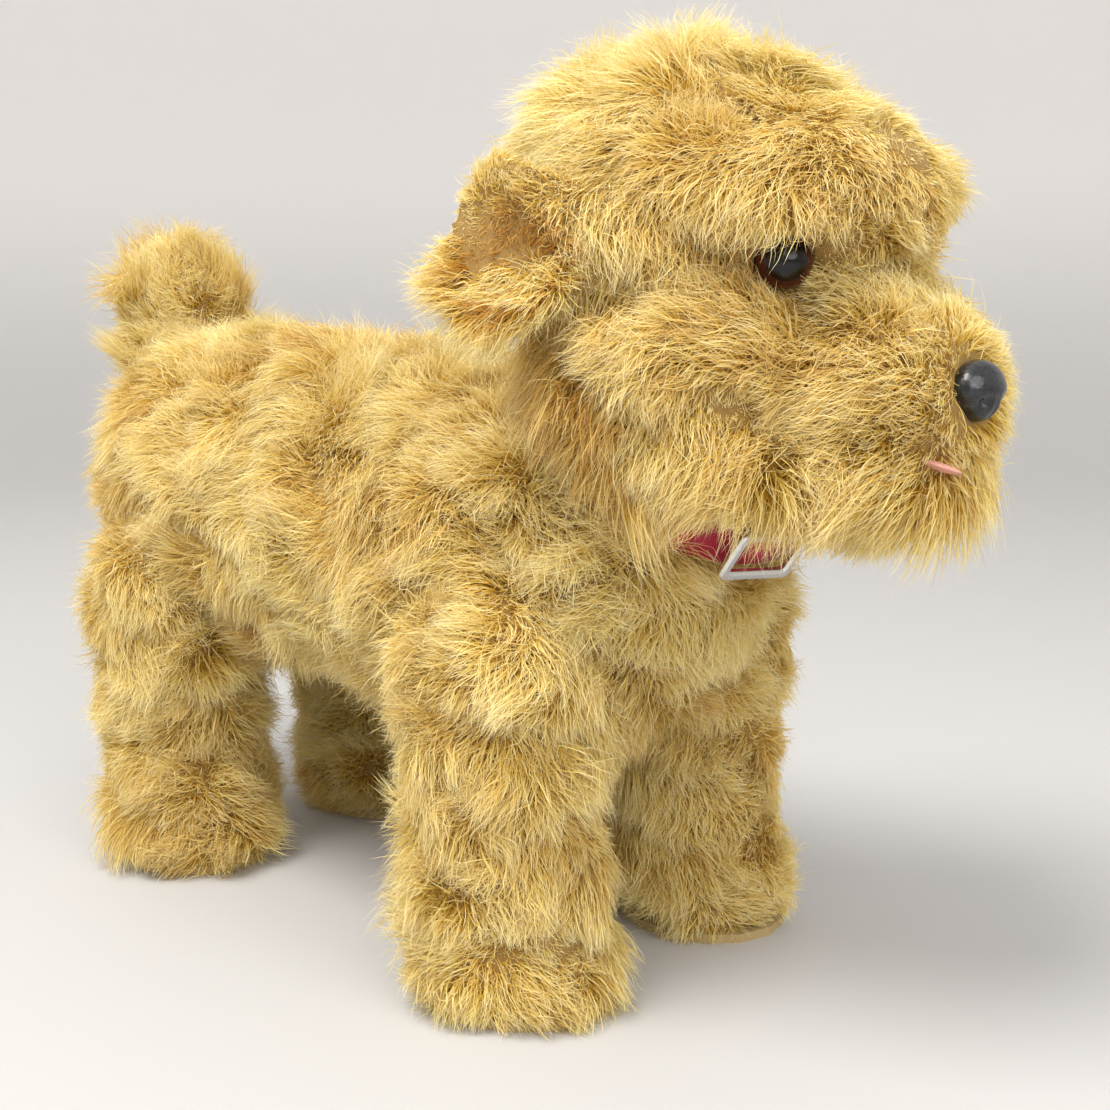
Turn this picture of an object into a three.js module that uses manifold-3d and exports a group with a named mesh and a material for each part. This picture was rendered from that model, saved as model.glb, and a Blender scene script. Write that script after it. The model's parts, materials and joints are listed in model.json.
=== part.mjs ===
// A standing plush dog: sewn pile-fabric skin over stuffing, a wire armature, a disc-jointed neck,
// button eyes and nose, a felt tongue and a buckled collar.
// Millimetres. +X is the way the dog faces, +Y its left, +Z up, with the soles on z = 0.
import * as THREE from 'three';
import { mergeVertices } from 'three/addons/utils/BufferGeometryUtils.js';
import Module from 'manifold-3d';

const wasm = await Module();
wasm.setup();

// ---- Driving dimensions -------------------------------------------------------------------
const GAP = 0.35;                 // clearance between touching pieces
const SKIN = 4.5;                 // backing cloth with the pile lying on it
const ORIGIN_X = -21.114;         // moves the middle of the overall box onto x = 0

// Body sections from rump to chest: [x, centre z, half width, half height]
const BODY_SECTIONS = [
  [-105, 98, 0.5, 0.5], [-102, 98, 14, 15], [-95, 98, 27, 27], [-79, 98, 39, 36], [-52, 97, 43, 39],
  [-12, 94, 42, 38], [28, 91, 42, 39], [56, 90, 42, 39], [76, 91, 36, 35], [90, 93, 22, 23],
  [95.5, 94, 0.5, 0.5],
];
const BELLY = { rear: -96, front: 84, halfWidth: 7, top: 66 };   // the strip between the belly seams

// Neck: a short leaning cylinder whose end plane is the seat of the head
const NECK_SEAT = new THREE.Vector3(89, 0, 124);
const NECK_TILT = THREE.MathUtils.degToRad(36);
const NECK_RADIUS = 29;
// Neck taper below the seat: [depth, radius]; the first lies inside the body
const NECK_TAPER = [[42, 33], [24, 32], [14, 29.5]];
const COLLAR_GROOVE = 13.5;       // depth below the seat that the trunk leaves free for the collar
const DISC_RADIUS = 19;
const DISC_THICK = 2.4;
const PIN_RADIUS = 1.5;
const PIN_HEAD_RADIUS = 3.4;
const PIN_HEAD_THICK = 1.2;
const PIN_TOP_THICK = 2;
const WASHER_RADIUS = 6;
const WASHER_THICK = 1;

// Head as overlapping rounded forms: [centre], [radii]
const HEAD_FORMS = {
  cranium: [[96, 0, 160], [38, 39, 34]],
  crown: [[88, 0, 172], [30, 34, 22]],
  brow: [[123, 0, 166], [20, 30, 17]],
  muzzle: [[133, 0, 130.5], [25, 23, 20]],
  jaw: [[126, 0, 119], [29, 25, 16]],
  cheekRight: [[107, -21, 131], [27, 19, 26]],
  cheekLeft: [[107, 21, 131], [27, 19, 26]],
  nape: [[84, 0, 134], [24, 30, 24]],
};
const CROWN_HALF_WIDTH = 11;      // half width of the centre strip over crown and muzzle
const CHIN_SEAM_Z = 119;          // the chin strip lies below this height
const EYE_CENTRE = new THREE.Vector3(127.5, -19.5, 155);
const EYE_RADIUS = 5.4;
const EYE_AIM = new THREE.Vector3(0.72, -0.69, 0.02).normalize();
const NOSE_CENTRE = new THREE.Vector3(156.6, 0, 133);
const NOSE_RADII = [4.2, 6.4, 4.6];
const TONGUE_CENTRE = new THREE.Vector3(151, -5, 118.8);
const TONGUE_RADII = [9, 4.8, 0.9];
const TONGUE_TURN = -35;          // degrees that it points to the dog's right
const TONGUE_ROLL = -18;          // degrees that its front edge hangs down on the left
const SHANK_RADIUS = 1.6;
const SHANK_LENGTH = 10;          // from the button's centre, inwards
const BUTTON_BACK = -2.2;         // flat back of a button, from its centre
const BUTTON_WASHER = { radius: 5.2, inner: -8.2, outer: -6.9 };

// Ears hang from a sewn edge high on the side of the head
// [x, y, z, half width] down the right ear's middle; the flap flares out and back
const EAR_LINE = [
  [89, -42.5, 171, 10], [87.5, -45.5, 164, 13], [85.5, -48.5, 156, 13], [83.5, -50.5, 148, 10],
  [82, -51.5, 142, 3],
];
const EAR_ACROSS = new THREE.Vector3(0.93, 0.37, 0);      // from the flap's rear edge to its front edge
const EAR_CLOTH = 3;

// Legs: a round top that turns on the cross wire, a shank and a flat paw
const LEG_FRONT_X = 66;
const LEG_REAR_X = -60;
const LEG_SIDE = 31.5;
const HIP_Z = 70;
const HIP_RADIUS = 21;
const HIP_INNER = 9;              // nearest the hip barrel comes to the middle plane
const HIP_OUTER = 50;
// Hip barrel: [inset from its radius, distance from the middle plane]
const HIP_PROFILE = [[3, HIP_INNER], [0, HIP_INNER + 3], [0, 38], [3.5, 45], [11, 49]];
// Shank: [z, share of the paw's reach, half length, half width]
const SHANK_SECTIONS = [
  [68, 0, 19.5, 18], [56, 0, 19.5, 18.5], [42, 0, 18.5, 18.5], [28, 0.1, 18.5, 18.5],
  [14, 0.7, 20.5, 19], [5, 1, 21.5, 19.5], [0, 1, 20.5, 18.5],
];
const PAW_REACH_FRONT = 3;        // how far the paw's middle lies ahead of the hip
const PAW_REACH_REAR = 5;
const SWING_FLARE = { widen: 6.5, from: 24, to: 40 };    // room for the shank, below the hip
const SWING_DEPTH = 60;
const CROSS_REACH = 38;           // half length of a cross wire
const FOOT_LOOP = { radius: 7, ahead: 7, above: 5 };
const LEG_SKIN = 3.5;
const SOLE_THICK = 2.2;
const WIRE_RADIUS = 1.4;
const EYELET_RADIUS = 4.2;

// Tail: an upright stub on a ball base
const TAIL_BASE = new THREE.Vector3(-95, 0, 114);
const TAIL_BALL = 12.5;
const TAIL_TOP = new THREE.Vector3(-108, 0, 160);
const TAIL_SKIN = 3;
// Stem: [height above the base, radius]; the last two rows are added at the tip
const TAIL_SECTIONS = [[4, 10.5], [12, 12.5], [22, 15], [32, 15.5], [39, 12]];
const TAIL_FLARE = { top: 28, bottom: 12.9, height: 20, middle: 11.5 };
const TAIL_WIRE_LENGTH = 38;

// Collar: a flat strap round the neck just under the head
const STRAP_RADIUS = 31;          // inner radius
const STRAP_THICK = 1.2;
const STRAP_WIDTH = 9;
const STRAP_DROP = 6.6;           // strap's middle below the head seat, along the neck
const STRAP_TIP_TURN = 27;        // degrees that the free end reaches past the buckle's middle
const BUCKLE_LENGTH = 20;         // along the strap
const BUCKLE_HEIGHT = 12.4;       // across the strap
const BUCKLE_BAR = 2.3;
const BUCKLE_THICK = 1.8;
const BUCKLE_TURN = -8;           // degrees round the neck from the throat; minus is the dog's right
const COLLAR_ROOM = 34.2;         // the trunk stays outside this radius about the neck

// ---- Materials ------------------------------------------------------------------------------
const material = (color, roughness, metalness = 0) =>
  new THREE.MeshStandardMaterial({ color, roughness, metalness });
const PLUSH = material(0xcfa95e, 0.95);
const LINING = material(0xc39a50, 0.95);
const FILLING = material(0xe8e2d2, 0.95);
const STEEL = material(0x8d9196, 0.4, 1);
const BOARD = material(0x9a7648, 0.9);
const BLACK_PLASTIC = material(0x16171a, 0.15);
const DARK_GLASS = material(0x1c0f0a, 0.08);
const WASHER_PLASTIC = material(0xd9d9d4, 0.5);
const FELT = material(0xe29a86, 0.9);
const VINYL = material(0x96283a, 0.45);
const CHROME = material(0xd6d8da, 0.15, 1);

// ---- Solids -----------------------------------------------------------------------------------
function toSolid(geometry) {
  const plain = geometry.clone();
  plain.deleteAttribute('normal');
  plain.deleteAttribute('uv');
  const merged = mergeVertices(plain, 1e-4);
  return new wasm.Manifold(new wasm.Mesh({
    numProp: 3,
    vertProperties: new Float32Array(merged.attributes.position.array),
    triVerts: new Uint32Array(merged.index.array),
  }));
}

function toGeometry(solid) {
  const { vertProperties, triVerts, numProp } = solid.getMesh();
  const positions = new Float32Array((vertProperties.length / numProp) * 3);
  for (let i = 0; i < positions.length / 3; i++) {
    for (let k = 0; k < 3; k++) positions[3 * i + k] = vertProperties[numProp * i + k];
  }
  const geometry = new THREE.BufferGeometry();
  geometry.setAttribute('position', new THREE.BufferAttribute(positions, 3));
  geometry.setIndex(new THREE.BufferAttribute(new Uint32Array(triVerts), 1));
  return geometry;
}

const placed = (geometry, matrix) => toSolid(geometry.clone().applyMatrix4(matrix));
const joined = (solids) => solids.reduce((sum, solid) => sum.add(solid));

// Matrix that carries +Z onto a direction and the origin onto a point
function along(direction, point) {
  const up = new THREE.Vector3(0, 0, 1);
  const turn = new THREE.Quaternion().setFromUnitVectors(up, direction.clone().normalize());
  return new THREE.Matrix4().compose(point, turn, new THREE.Vector3(1, 1, 1));
}

function ellipsoid(centre, radii, inset = 0, sides = inset > 1 ? 8 : 13) {
  const geometry = new THREE.SphereGeometry(1, sides, Math.round(sides * 0.66));
  geometry.rotateX(Math.PI / 2);
  geometry.scale(radii[0] - inset, radii[1] - inset, radii[2] - inset);
  geometry.translate(...centre);
  return toSolid(geometry);
}

function cylinder(from, to, radius, sides = 16) {
  const axis = to.clone().sub(from);
  const geometry = new THREE.CylinderGeometry(radius, radius, axis.length(), sides);
  geometry.rotateX(Math.PI / 2);
  return placed(geometry, along(axis, from.clone().add(to).multiplyScalar(0.5)));
}

function box(from, to) {
  const geometry = new THREE.BoxGeometry(to[0] - from[0], to[1] - from[1], to[2] - from[2]);
  geometry.translate((from[0] + to[0]) / 2, (from[1] + to[1]) / 2, (from[2] + to[2]) / 2);
  return toSolid(geometry);
}

function ball(centre, radius, sides = 14) {
  return ellipsoid(centre.toArray(), [radius, radius, radius], 0, sides);
}

// Loft through elliptical sections; a section is { centre, u, v } with u and v the half axes
function loft(sections, sides) {
  const positions = [];
  const index = [];
  sections.forEach(({ centre, u, v }) => {
    for (let i = 0; i < sides; i++) {
      const angle = (2 * Math.PI * i) / sides;
      const p = centre.clone().addScaledVector(u, Math.cos(angle)).addScaledVector(v, Math.sin(angle));
      positions.push(p.x, p.y, p.z);
    }
  });
  for (let j = 0; j < sections.length - 1; j++) {
    for (let i = 0; i < sides; i++) {
      const a = j * sides + i;
      const b = j * sides + ((i + 1) % sides);
      index.push(a, b, b + sides, a, b + sides, a + sides);
    }
  }
  const first = sections[0].centre;
  const last = sections[sections.length - 1].centre;
  const firstAt = positions.length / 3;
  positions.push(first.x, first.y, first.z, last.x, last.y, last.z);
  const lastRing = (sections.length - 1) * sides;
  for (let i = 0; i < sides; i++) {
    index.push(firstAt, (i + 1) % sides, i);
    index.push(firstAt + 1, lastRing + i, lastRing + ((i + 1) % sides));
  }
  const geometry = new THREE.BufferGeometry();
  geometry.setAttribute('position', new THREE.Float32BufferAttribute(positions, 3));
  geometry.setIndex(index);
  return toSolid(geometry);
}

// Smooth curve of section values through the given keys
function smoothRows(rows, steps) {
  const width = rows[0].length;
  const curves = [];
  for (let k = 0; k < width; k++) {
    const keys = rows.map((row, i) => new THREE.Vector3(i, row[k], 0));
    curves.push(new THREE.CatmullRomCurve3(keys, false, 'catmullrom', 0.5));
  }
  const result = [];
  for (let s = 0; s <= steps; s++) result.push(curves.map((curve) => curve.getPoint(s / steps).y));
  return result;
}

// ---- Body form ----------------------------------------------------------------------------
const X_AXIS = new THREE.Vector3(1, 0, 0);
const Y_AXIS = new THREE.Vector3(0, 1, 0);
const NECK_AXIS = new THREE.Vector3(Math.sin(NECK_TILT), 0, Math.cos(NECK_TILT));
const THROAT = new THREE.Vector3(Math.cos(NECK_TILT), 0, -Math.sin(NECK_TILT));

const BEYOND = 120;               // past anything on the head or neck
const neckPoint = (height) => NECK_SEAT.clone().addScaledVector(NECK_AXIS, height);

function trunk(inset) {
  const rows = smoothRows(BODY_SECTIONS, inset > 1 ? 7 : 11);
  return loft(rows.map(([x, z, halfWidth, halfHeight], i) => {
    const endShift = i === 0 ? inset : i === rows.length - 1 ? -inset : 0;
    return {
      centre: new THREE.Vector3(x + endShift, 0, z),
      u: new THREE.Vector3(0, Math.max(halfWidth - inset, 0.4), 0),
      v: new THREE.Vector3(0, 0, Math.max(halfHeight - inset, 0.4)),
    };
  }), inset > 1 ? 10 : 18);
}

function neckStub(inset) {
  return loft([...NECK_TAPER, [inset, NECK_RADIUS]].map(([depth, radius]) => ({
    centre: neckPoint(-depth),
    u: THROAT.clone().multiplyScalar(radius - inset),
    v: Y_AXIS.clone().multiplyScalar(radius - inset),
  })), inset > 1 ? 10 : 18);
}

// The trunk is cut off level with the head seat, so that the head can turn over it, and stays clear
// of the collar
const bodyForm = (inset) => trunk(inset)
  .subtract(cylinder(neckPoint(-inset), neckPoint(BEYOND), BEYOND, 24))
  .subtract(cylinder(neckPoint(-COLLAR_GROOVE - inset), neckPoint(COLLAR_GROOVE), COLLAR_ROOM + inset, 22))
  .add(neckStub(inset));

// ---- Leg form -----------------------------------------------------------------------------
// A right-hand leg stands at y < 0; side is -1 for the right and +1 for the left.
function legForm(x, side, inset, rear) {
  const fine = inset < 1;
  const points = HIP_PROFILE.map(([less, reach]) => new THREE.Vector2(
    HIP_RADIUS - less - inset,
    THREE.MathUtils.clamp(reach, HIP_INNER + inset, HIP_OUTER - inset),
  ));
  points.unshift(new THREE.Vector2(0, HIP_INNER + inset));
  points.push(new THREE.Vector2(0, HIP_OUTER - inset));
  const barrel = new THREE.LatheGeometry(points, fine ? 16 : 10);
  if (side < 0) barrel.rotateZ(Math.PI);
  barrel.translate(x, 0, HIP_Z);
  const pawReach = rear ? PAW_REACH_REAR : PAW_REACH_FRONT;
  const rows = smoothRows(SHANK_SECTIONS, fine ? 5 : 3).reverse();
  const shank = loft(rows.map(([z, reach, halfLength, halfWidth], i) => ({
    centre: new THREE.Vector3(
      x + reach * pawReach, side * LEG_SIDE, i === 0 ? z + Math.min(inset, SOLE_THICK) : z),
    u: new THREE.Vector3(halfLength - inset, 0, 0),
    v: new THREE.Vector3(0, halfWidth - inset, 0),
  })), fine ? 14 : 8);
  return toSolid(barrel).add(shank);
}

const LEGS = [
  { name: 'front_right', x: LEG_FRONT_X, side: -1, rear: false },
  { name: 'front_left', x: LEG_FRONT_X, side: 1, rear: false },
  { name: 'rear_right', x: LEG_REAR_X, side: -1, rear: true },
  { name: 'rear_left', x: LEG_REAR_X, side: 1, rear: true },
];

// Space swept by one leg as it swings, widened by a wall: a round top that flares downwards
function swingRoom(x, side, wall) {
  const radius = HIP_RADIUS + 2 * GAP + wall;
  const flare = radius + SWING_FLARE.widen;
  const outline = new THREE.Shape();
  outline.absarc(0, 0, radius, 0, Math.PI);
  outline.lineTo(-flare, -SWING_FLARE.from);
  outline.lineTo(-flare, -SWING_FLARE.to);
  outline.lineTo(flare, -SWING_FLARE.to);
  outline.lineTo(flare, -SWING_FLARE.from);
  const geometry = new THREE.ExtrudeGeometry(outline, {
    depth: SWING_DEPTH, bevelEnabled: false, curveSegments: 10,
  });
  geometry.rotateX(Math.PI / 2);
  const inner = HIP_INNER - GAP - wall;
  geometry.translate(x, side > 0 ? inner + SWING_DEPTH : -inner, HIP_Z);
  return toSolid(geometry);
}
const legRoom = (wall) => joined(LEGS.map(({ x, side }) => swingRoom(x, side, wall)));

// ---- Tail form ----------------------------------------------------------------------------
const TAIL_AXIS = TAIL_TOP.clone().sub(TAIL_BASE).normalize();
function tailForm(inset) {
  const length = TAIL_TOP.distanceTo(TAIL_BASE);
  const rows = [...TAIL_SECTIONS, [length - 0.5, 7], [length, 3]];
  const fine = inset < 1;
  const across = new THREE.Vector3().crossVectors(TAIL_AXIS, Y_AXIS).normalize();
  const stem = loft(smoothRows(rows, fine ? 6 : 4).map(([height, radius]) => ({
    centre: TAIL_BASE.clone().addScaledVector(TAIL_AXIS, Math.min(height, length - inset)),
    u: across.clone().multiplyScalar(-Math.max(radius - inset, 0.4)),
    v: Y_AXIS.clone().multiplyScalar(Math.max(radius - inset, 0.4)),
  })), fine ? 12 : 8);
  return stem.add(ball(TAIL_BASE, TAIL_BALL - inset, fine ? 12 : 8));
}

// Cup for the ball, flaring upwards to let the stem lean
function tailRoom(wall) {
  const { top, bottom, height, middle } = TAIL_FLARE;
  const flare = new THREE.CylinderGeometry(top + wall, bottom + wall, height, 16);
  flare.rotateX(Math.PI / 2);
  flare.translate(0, 0, middle);
  return ball(TAIL_BASE, TAIL_BALL + 2 * GAP + wall, 14)
    .add(placed(flare, along(TAIL_AXIS, TAIL_BASE)));
}

// ---- Head form ----------------------------------------------------------------------------
const headSide = (inset) => cylinder(neckPoint(GAP + inset), neckPoint(BEYOND), 90, 24);
const HOLLOW_FORMS = ['cranium', 'muzzle', 'cheekRight', 'cheekLeft'];
const headForm = (inset) => joined(Object.entries(HEAD_FORMS)
  .filter(([name]) => inset < 1 || HOLLOW_FORMS.includes(name))
  .map(([, [centre, radii]]) => ellipsoid(centre, radii, inset)))
  .intersect(headSide(inset));

// ---- Assembly ------------------------------------------------------------------------------
const group = new THREE.Group();
group.position.x = ORIGIN_X;

function piece(name, solid, finish) {
  const mesh = new THREE.Mesh(toGeometry(solid), finish);
  mesh.name = name;
  group.add(mesh);
}

const mirrorY = new THREE.Matrix4().makeScale(1, -1, 1);
function mirrored(solid) {
  const geometry = toGeometry(solid).applyMatrix4(mirrorY);
  const index = geometry.index.array;
  for (let i = 0; i < index.length; i += 3) [index[i + 1], index[i + 2]] = [index[i + 2], index[i + 1]];
  return toSolid(geometry);
}

const FAR = 400;
const rightOf = (y) => box([-FAR, -FAR, -FAR], [FAR, y, FAR]);
const leftOf = (y) => box([-FAR, y, -FAR], [FAR, FAR, FAR]);
const below = (z) => box([-FAR, -FAR, -FAR], [FAR, FAR, z]);
const above = (z) => box([-FAR, -FAR, z], [FAR, FAR, FAR]);

// Neck joint: a board disc each side of the seat, held by a cotter pin through washers
const discBelow = cylinder(neckPoint(-SKIN - GAP - DISC_THICK), neckPoint(-SKIN - GAP), DISC_RADIUS, 16);
const discAbove = cylinder(
  neckPoint(SKIN + 2 * GAP), neckPoint(SKIN + 2 * GAP + DISC_THICK), DISC_RADIUS, 16);
const washerAt = (height) => cylinder(
  neckPoint(height), neckPoint(height + WASHER_THICK), WASHER_RADIUS, 12);
const pinReach = SKIN + DISC_THICK + 12;
const pinHole = cylinder(neckPoint(-pinReach), neckPoint(pinReach), PIN_RADIUS + GAP, 8);
const washerBelowBase = -SKIN - 2 * GAP - DISC_THICK - WASHER_THICK;
const washerAboveBase = SKIN + 3 * GAP + DISC_THICK;
const pinLowest = washerBelowBase - GAP;
const pinHighest = washerAboveBase + WASHER_THICK + GAP;
const pin = joined([
  cylinder(neckPoint(pinLowest - 1), neckPoint(pinHighest + 1), PIN_RADIUS, 8),
  cylinder(neckPoint(pinLowest - PIN_HEAD_THICK), neckPoint(pinLowest), PIN_HEAD_RADIUS, 8),
  cylinder(neckPoint(pinHighest), neckPoint(pinHighest + PIN_TOP_THICK), PIN_HEAD_RADIUS, 8),
]);
const discRoom = cylinder(
  neckPoint(pinLowest - PIN_HEAD_THICK - 1.65), neckPoint(-SKIN), DISC_RADIUS + 1, 16);
const headDiscRoom = cylinder(
  neckPoint(SKIN), neckPoint(pinHighest + PIN_TOP_THICK + 2.3), DISC_RADIUS + 1, 16);

// Cross wires that the legs turn on; the spine wire's straight rear end carries the tail
const crossBar = (x, radius, reach) => cylinder(
  new THREE.Vector3(x, -reach, HIP_Z), new THREE.Vector3(x, reach, HIP_Z), radius, 8);
const crossHoles = joined([LEG_FRONT_X, LEG_REAR_X].map((x) =>
  crossBar(x, WIRE_RADIUS + GAP, CROSS_REACH + 1)));

function wire(route, radius, steps) {
  const section = new THREE.Shape();
  section.absarc(0, 0, radius, 0, 2 * Math.PI);
  const geometry = new THREE.ExtrudeGeometry(section, {
    steps, extrudePath: new THREE.CatmullRomCurve3(route), curveSegments: 3, bevelEnabled: false,
  });
  return toSolid(geometry);
}
const tailAxleFront = TAIL_BASE.clone().setX(TAIL_BASE.x + 15);
const tailAxleRear = TAIL_BASE.clone().setX(TAIL_BASE.x - 6);
const spineEnd = neckPoint(washerBelowBase - 8);
const spineRoute = [
  tailAxleFront, new THREE.Vector3(-66, 0, 114), new THREE.Vector3(-30, 0, 106),
  new THREE.Vector3(20, 0, 100), new THREE.Vector3(54, 0, 98), spineEnd,
];
const spineForm = (growth) => wire(spineRoute, WIRE_RADIUS + growth, 12)
  .add(cylinder(tailAxleRear, tailAxleFront.clone().setX(tailAxleFront.x + 1), WIRE_RADIUS + growth, 8));
const spineHole = spineForm(GAP + 0.1)
  .add(cylinder(spineEnd, neckPoint(washerBelowBase - 2), WIRE_RADIUS + GAP, 8));

const SEAM = GAP / 2;
const bodySkin = bodyForm(0).subtract(legRoom(0)).subtract(tailRoom(0))
  .subtract(bodyForm(SKIN).subtract(legRoom(SKIN)).subtract(tailRoom(SKIN)))
  .subtract(crossHoles).subtract(spineHole).subtract(pinHole);
const bellyBand = (gap) => box(
  [BELLY.rear, -BELLY.halfWidth - gap, 0], [BELLY.front, BELLY.halfWidth + gap, BELLY.top + gap]);
piece('body_panel_right', bodySkin.intersect(rightOf(-SEAM)).subtract(bellyBand(GAP)), PLUSH);
piece('body_panel_left', bodySkin.intersect(leftOf(SEAM)).subtract(bellyBand(GAP)), PLUSH);
piece('belly_gusset', bodySkin.intersect(bellyBand(0)), PLUSH);
const INNER = SKIN + GAP;
piece('body_stuffing', bodyForm(INNER).subtract(legRoom(INNER)).subtract(tailRoom(INNER))
  .subtract(discRoom).subtract(crossHoles).subtract(spineHole), FILLING);
piece('spine_wire', spineForm(0), STEEL);
piece('front_cross_wire', crossBar(LEG_FRONT_X, WIRE_RADIUS, CROSS_REACH), STEEL);
piece('rear_cross_wire', crossBar(LEG_REAR_X, WIRE_RADIUS, CROSS_REACH), STEEL);

piece('neck_disc_lower', discBelow.subtract(pinHole), BOARD);
piece('neck_washer_lower', washerAt(washerBelowBase).subtract(pinHole), STEEL);
piece('neck_disc_upper', discAbove.subtract(pinHole), BOARD);
piece('neck_washer_upper', washerAt(washerAboveBase).subtract(pinHole), STEEL);
piece('neck_pin', pin, STEEL);

// Eyes and nose: a dome or button outside the cloth, a shank through it and a washer behind
function button(centre, aim, dome, domeRoom) {
  const { radius, inner, outer } = BUTTON_WASHER;
  const disc = (from, to, size, sides) => cylinder(
    centre.clone().addScaledVector(aim, from), centre.clone().addScaledVector(aim, to), size, sides);
  const shank = (growth, depth) => disc(-depth, -1, SHANK_RADIUS + growth, 8);
  const front = (gap) => disc(BUTTON_BACK - gap, 20, 12, 8);
  return {
    body: dome.intersect(front(0)).add(shank(0, SHANK_LENGTH)),
    washer: disc(inner, outer, radius, 12).subtract(shank(GAP, SHANK_LENGTH + 2)),
    room: domeRoom.intersect(front(GAP)).add(shank(GAP, SHANK_LENGTH + 0.6))
      .add(disc(inner - GAP, outer + GAP, radius + GAP, 12)),
  };
}
const eyeRight = button(
  EYE_CENTRE, EYE_AIM, ball(EYE_CENTRE, EYE_RADIUS, 12), ball(EYE_CENTRE, EYE_RADIUS + 1.5 * GAP, 10));
const noseForm = (growth) => ellipsoid(NOSE_CENTRE.toArray(), NOSE_RADII, -growth, 12)
  .add(ellipsoid([NOSE_CENTRE.x - 0.3, 0, NOSE_CENTRE.z - 3.4], [3.6, 3.6, 3.6], -growth, 8));
const nose = button(NOSE_CENTRE, X_AXIS, noseForm(0), noseForm(GAP));
function tongueForm(growth) {
  const flat = toGeometry(ellipsoid([0, 0, 0], TONGUE_RADII, -growth, 10));
  flat.rotateX(THREE.MathUtils.degToRad(TONGUE_ROLL));
  flat.rotateZ(THREE.MathUtils.degToRad(TONGUE_TURN));
  return placed(flat, new THREE.Matrix4().setPosition(TONGUE_CENTRE));
}

const faceRooms = joined([eyeRight.room, mirrored(eyeRight.room), nose.room, tongueForm(GAP)]);
const headSkin = headForm(0).subtract(headForm(SKIN)).subtract(faceRooms).subtract(pinHole)
  .subtract(headDiscRoom);
const chinBlock = (gap) => box([100 - gap, -FAR, 0], [FAR, FAR, CHIN_SEAM_Z + gap]);
const upperSkin = headSkin.subtract(chinBlock(GAP));
piece('head_panel_right', upperSkin.intersect(rightOf(-CROWN_HALF_WIDTH - GAP)), PLUSH);
piece('head_panel_left', upperSkin.intersect(leftOf(CROWN_HALF_WIDTH + GAP)), PLUSH);
piece('head_centre_gusset',
  upperSkin.intersect(box([-FAR, -CROWN_HALF_WIDTH, -FAR], [FAR, CROWN_HALF_WIDTH, FAR])), PLUSH);
piece('chin_gusset', headSkin.intersect(chinBlock(0)), PLUSH);
piece('head_stuffing', headForm(INNER).subtract(faceRooms).subtract(headDiscRoom), FILLING);
piece('eye_right', eyeRight.body, DARK_GLASS);
piece('eye_left', mirrored(eyeRight.body), DARK_GLASS);
piece('eye_washer_right', eyeRight.washer, WASHER_PLASTIC);
piece('eye_washer_left', mirrored(eyeRight.washer), WASHER_PLASTIC);
piece('nose', nose.body, BLACK_PLASTIC);
piece('nose_washer', nose.washer, WASHER_PLASTIC);
piece('tongue', tongueForm(0), FELT);

// Ears: pile cloth outside, lining inside
function earLayer(offset) {
  const rows = smoothRows(EAR_LINE, 6);
  return loft(rows.map(([x, y, z, halfWidth], i) => {
    const next = rows[Math.min(i + 1, rows.length - 1)];
    const last = rows[Math.max(i - 1, 0)];
    const down = new THREE.Vector3(next[0] - last[0], next[1] - last[1], next[2] - last[2]).normalize();
    const across = EAR_ACROSS.clone().addScaledVector(down, -EAR_ACROSS.dot(down)).normalize();
    const outward = new THREE.Vector3().crossVectors(down, across);
    return {
      centre: new THREE.Vector3(x, y, z).addScaledVector(outward, offset),
      u: across.multiplyScalar(halfWidth),
      v: outward.multiplyScalar(EAR_CLOTH / 2),
    };
  }), 12);
}
const earOffset = EAR_CLOTH / 2 + SEAM;
piece('ear_outer_right', earLayer(earOffset), PLUSH);
piece('ear_outer_left', mirrored(earLayer(earOffset)), PLUSH);
piece('ear_lining_right', earLayer(-earOffset), LINING);
piece('ear_lining_left', mirrored(earLayer(-earOffset)), LINING);

// Round pocket in the stuffing for an eyelet that turns on a wire running along the axis
const eyeletPocket = (centre, axis) => {
  const half = WIRE_RADIUS + GAP;
  return cylinder(centre.clone().addScaledVector(axis, -half), centre.clone().addScaledVector(axis, half),
    EYELET_RADIUS + half, 12);
};

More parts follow.
